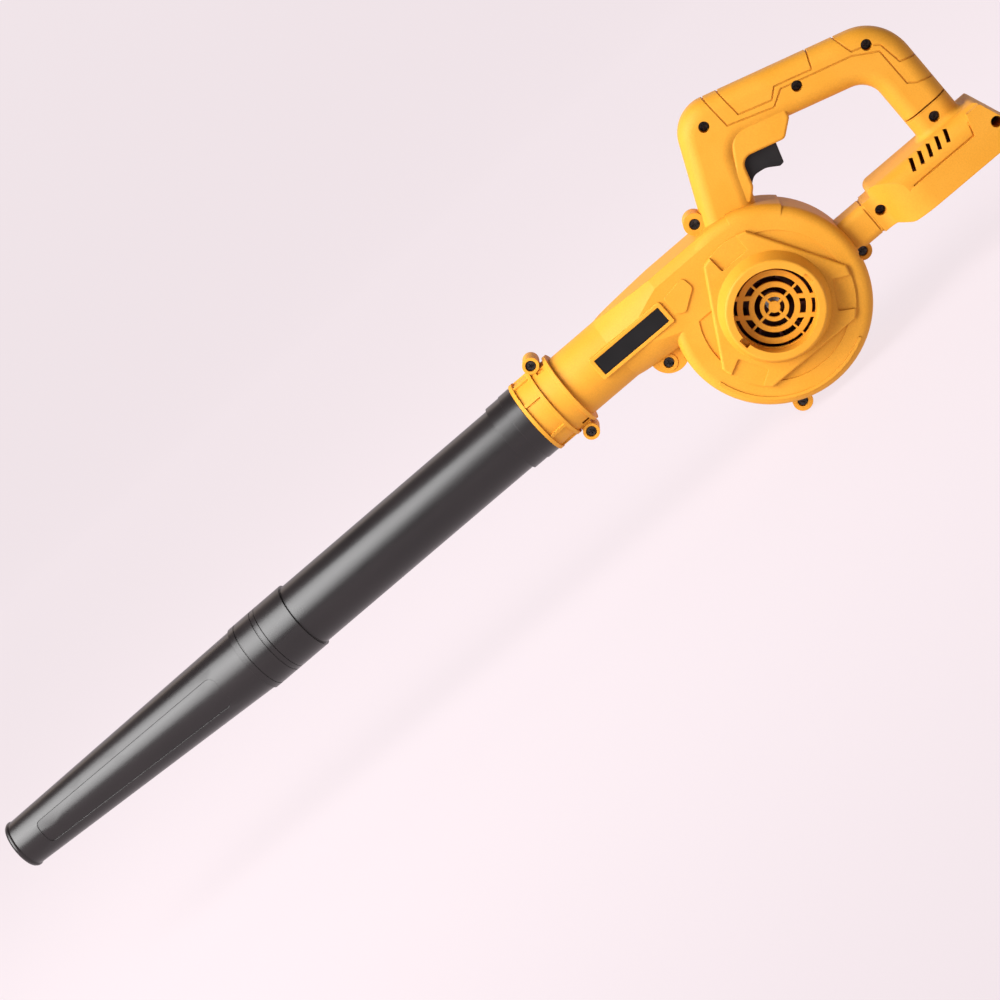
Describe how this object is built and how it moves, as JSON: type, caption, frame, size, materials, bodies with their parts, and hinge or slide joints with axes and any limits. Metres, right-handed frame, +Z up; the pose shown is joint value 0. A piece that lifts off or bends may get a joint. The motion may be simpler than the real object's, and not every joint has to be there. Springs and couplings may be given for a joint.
{
  "type": "leaf blower",
  "caption": "Handheld cordless leaf blower: round fan housing with side air inlet, D-shaped handle with trigger, battery foot and long straight blow tube with tapered nozzle.",
  "frame": {"origin": "centre of the bounding box in X and Y, at its lowest point in Z", "axes": "+X from the nozzle toward the battery foot along the blow tube, +Z up through the handle, -Y is the air inlet side"},
  "size_m": [0.9466, 0.1166, 0.2313],
  "materials": {
    "shell": "satin, fine spark texture",
    "tube": "satin",
    "badge": "smooth",
    "trigger": "satin",
    "switch": "moulded",
    "spring": "drawn wire",
    "can": "zinc plated, drawn",
    "end_cap": "moulded",
    "carbon": "pressed carbon",
    "magnet": "sintered ferrite",
    "bronze": "sintered bronze",
    "shaft": "ground",
    "laminations": "stacked sheet",
    "copper": "enamelled winding wire",
    "fan": "glass-filled moulding",
    "screw": "black oxide",
    "zinc": "zinc plated",
    "terminal": "stamped",
    "lead": "insulated lead"
  },
  "bodies": {
    "housing": {"left_housing": "shell", "right_housing": "shell", "foot_left": "shell", "foot_right": "shell", "inlet_grille": "shell", "motor_cover": "shell", "name_badge": "badge", "trigger_spring": "spring", "switch_body": "switch", "motor_can": "can", "motor_end_cap": "end_cap", "carbon_brushes": "carbon", "motor_magnets": "magnet", "motor_bearings": "bronze", "motor_screws": "screw", "cover_screws": "screw", "case_screws": "screw", "terminal_block": "switch", "terminal_blades": "terminal", "battery_leads": "lead", "motor_leads": "lead"},
    "blow_tube": {"front_tube": "tube"},
    "nozzle": {"nozzle": "tube"},
    "trigger": {"trigger": "trigger", "switch_plunger": "switch"},
    "rotor": {"motor_shaft": "shaft", "armature_core": "laminations", "armature_windings": "copper", "commutator": "copper", "impeller": "fan", "impeller_washer": "zinc", "impeller_nut": "zinc"}
  },
  "joints": [
    {"name": "fan_spin", "type": "hinge", "parent": "housing", "child": "rotor", "pos_m": [0.25411, -0.0083, 0.081], "axis": [0, 1, 0], "continuous": true},
    {"name": "trigger_pull", "type": "slide", "parent": "housing", "child": "trigger", "axis": [0.284, 0, 0.9588], "range_m": [0, 0.006], "stiffness_N_per_m": 700, "springref_m": -0.004, "deforming": ["trigger_spring"]},
    {"name": "tube_twist", "type": "hinge", "parent": "housing", "child": "blow_tube", "pos_m": [0.06071, -0.0083, 0.129], "axis": [-1, 0, 0], "range_deg": [0, 25]},
    {"name": "nozzle_twist", "type": "hinge", "parent": "blow_tube", "child": "nozzle", "pos_m": [-0.20329, -0.0083, 0.129], "axis": [-1, 0, 0], "range_deg": [0, 25]}
  ]
}
